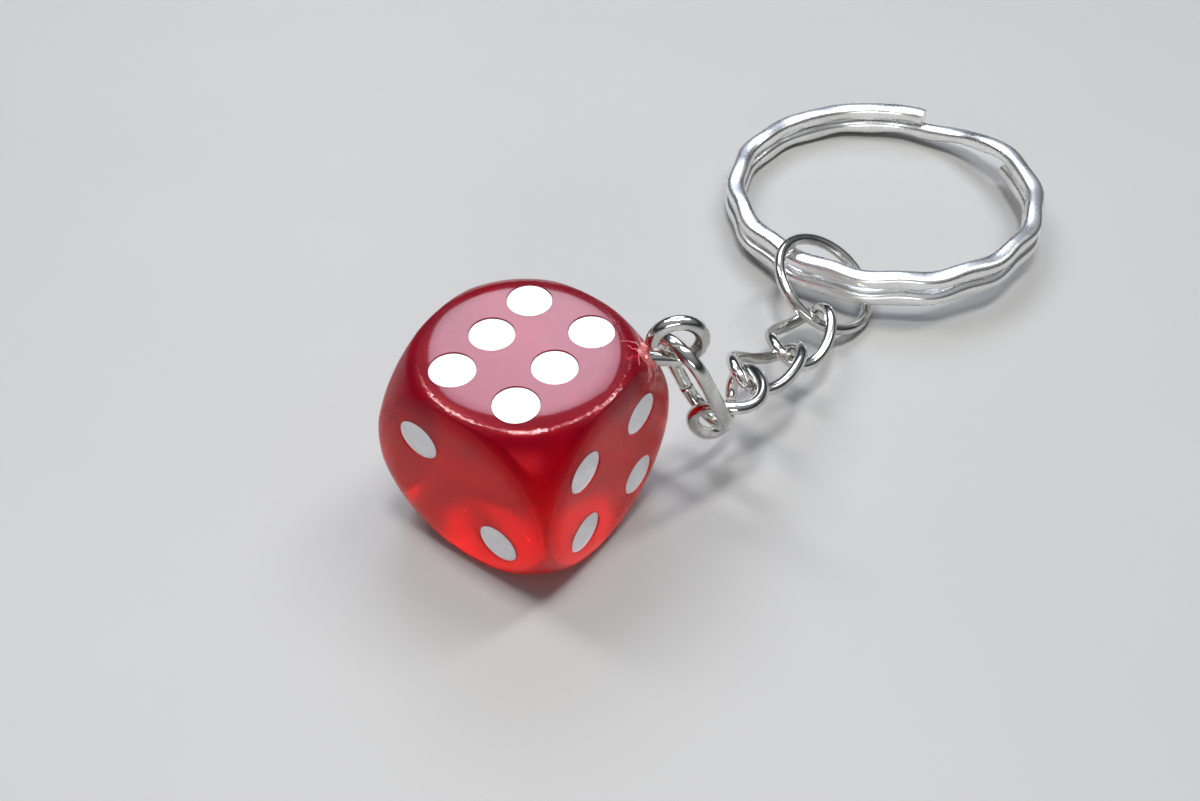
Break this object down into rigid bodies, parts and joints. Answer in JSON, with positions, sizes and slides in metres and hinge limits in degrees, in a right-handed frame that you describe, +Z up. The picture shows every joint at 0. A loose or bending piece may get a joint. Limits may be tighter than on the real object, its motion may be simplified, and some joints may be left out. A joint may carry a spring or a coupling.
{
  "type": "die key chain",
  "caption": "Small clear red die with rounded corners and inlaid white pips, hung by a screw eye, an oval ring, twisted links and a round ring on a split key ring.",
  "frame": {"origin": "middle of the die's bottom face, which holds the single pip", "axes": "+Z up through the six; the die's edges run along X and Y; the chain leaves the corner between +X and +Y and the key ring lies towards +Y"},
  "size_m": [0.0299, 0.0702, 0.0182],
  "materials": {
    "die_plastic": "deep red clear plastic, polished, with fine scratches",
    "pip_paint": "white filled paint, satin",
    "glue": "clear set glue over red plastic",
    "plated_wire": "nickel plated wire, bright, lightly worn",
    "hammered_steel": "flattened and plated steel wire with soft hammer waves"
  },
  "bodies": {
    "die": {"die_body": "die_plastic", "pips_one": "pip_paint", "pips_two": "pip_paint", "pips_three": "pip_paint", "pips_four": "pip_paint", "pips_five": "pip_paint", "pips_six": "pip_paint", "screw_eye": "plated_wire", "eye_glue": "glue"},
    "oval_ring": {"oval_ring": "plated_wire"},
    "link_one": {"link_one": "plated_wire"},
    "link_two": {"link_two": "plated_wire"},
    "link_three": {"link_three": "plated_wire"},
    "round_ring": {"round_ring": "plated_wire"},
    "key_ring": {"key_ring": "hammered_steel"}
  },
  "joints": [
    {"name": "eye_swing", "type": "hinge", "parent": "die", "child": "oval_ring", "pos_m": [0.00916, 0.0081, 0.01452], "axis": [0.56, 0.4955, 0.664], "range_deg": [0, 20]},
    {"name": "link_one_swing", "type": "hinge", "parent": "oval_ring", "child": "link_one", "pos_m": [0.00882, 0.0095, 0.00625], "axis": [0.1532, -0.1789, 0.9719], "range_deg": [0, 30]},
    {"name": "link_two_swing", "type": "hinge", "parent": "link_one", "child": "link_two", "pos_m": [0.0106, 0.0143, 0.00711], "axis": [0.8831, 0.0176, -0.4689], "range_deg": [0, 30]},
    {"name": "link_three_swing", "type": "hinge", "parent": "link_two", "child": "link_three", "pos_m": [0.00985, 0.0219, 0.00384], "axis": [0.6665, 0.5372, 0.517], "range_deg": [0, 30]},
    {"name": "round_ring_swing", "type": "hinge", "parent": "link_three", "child": "round_ring", "pos_m": [0.0091, 0.02909, 0.00283], "axis": [0.6422, 0.2494, 0.7249], "range_deg": [0, 30]},
    {"name": "key_ring_swing", "type": "hinge", "parent": "round_ring", "child": "key_ring", "pos_m": [0.01172, 0.03436, 0.00222], "axis": [0.9998, 0, 0.02], "range_deg": [0, 40]}
  ]
}
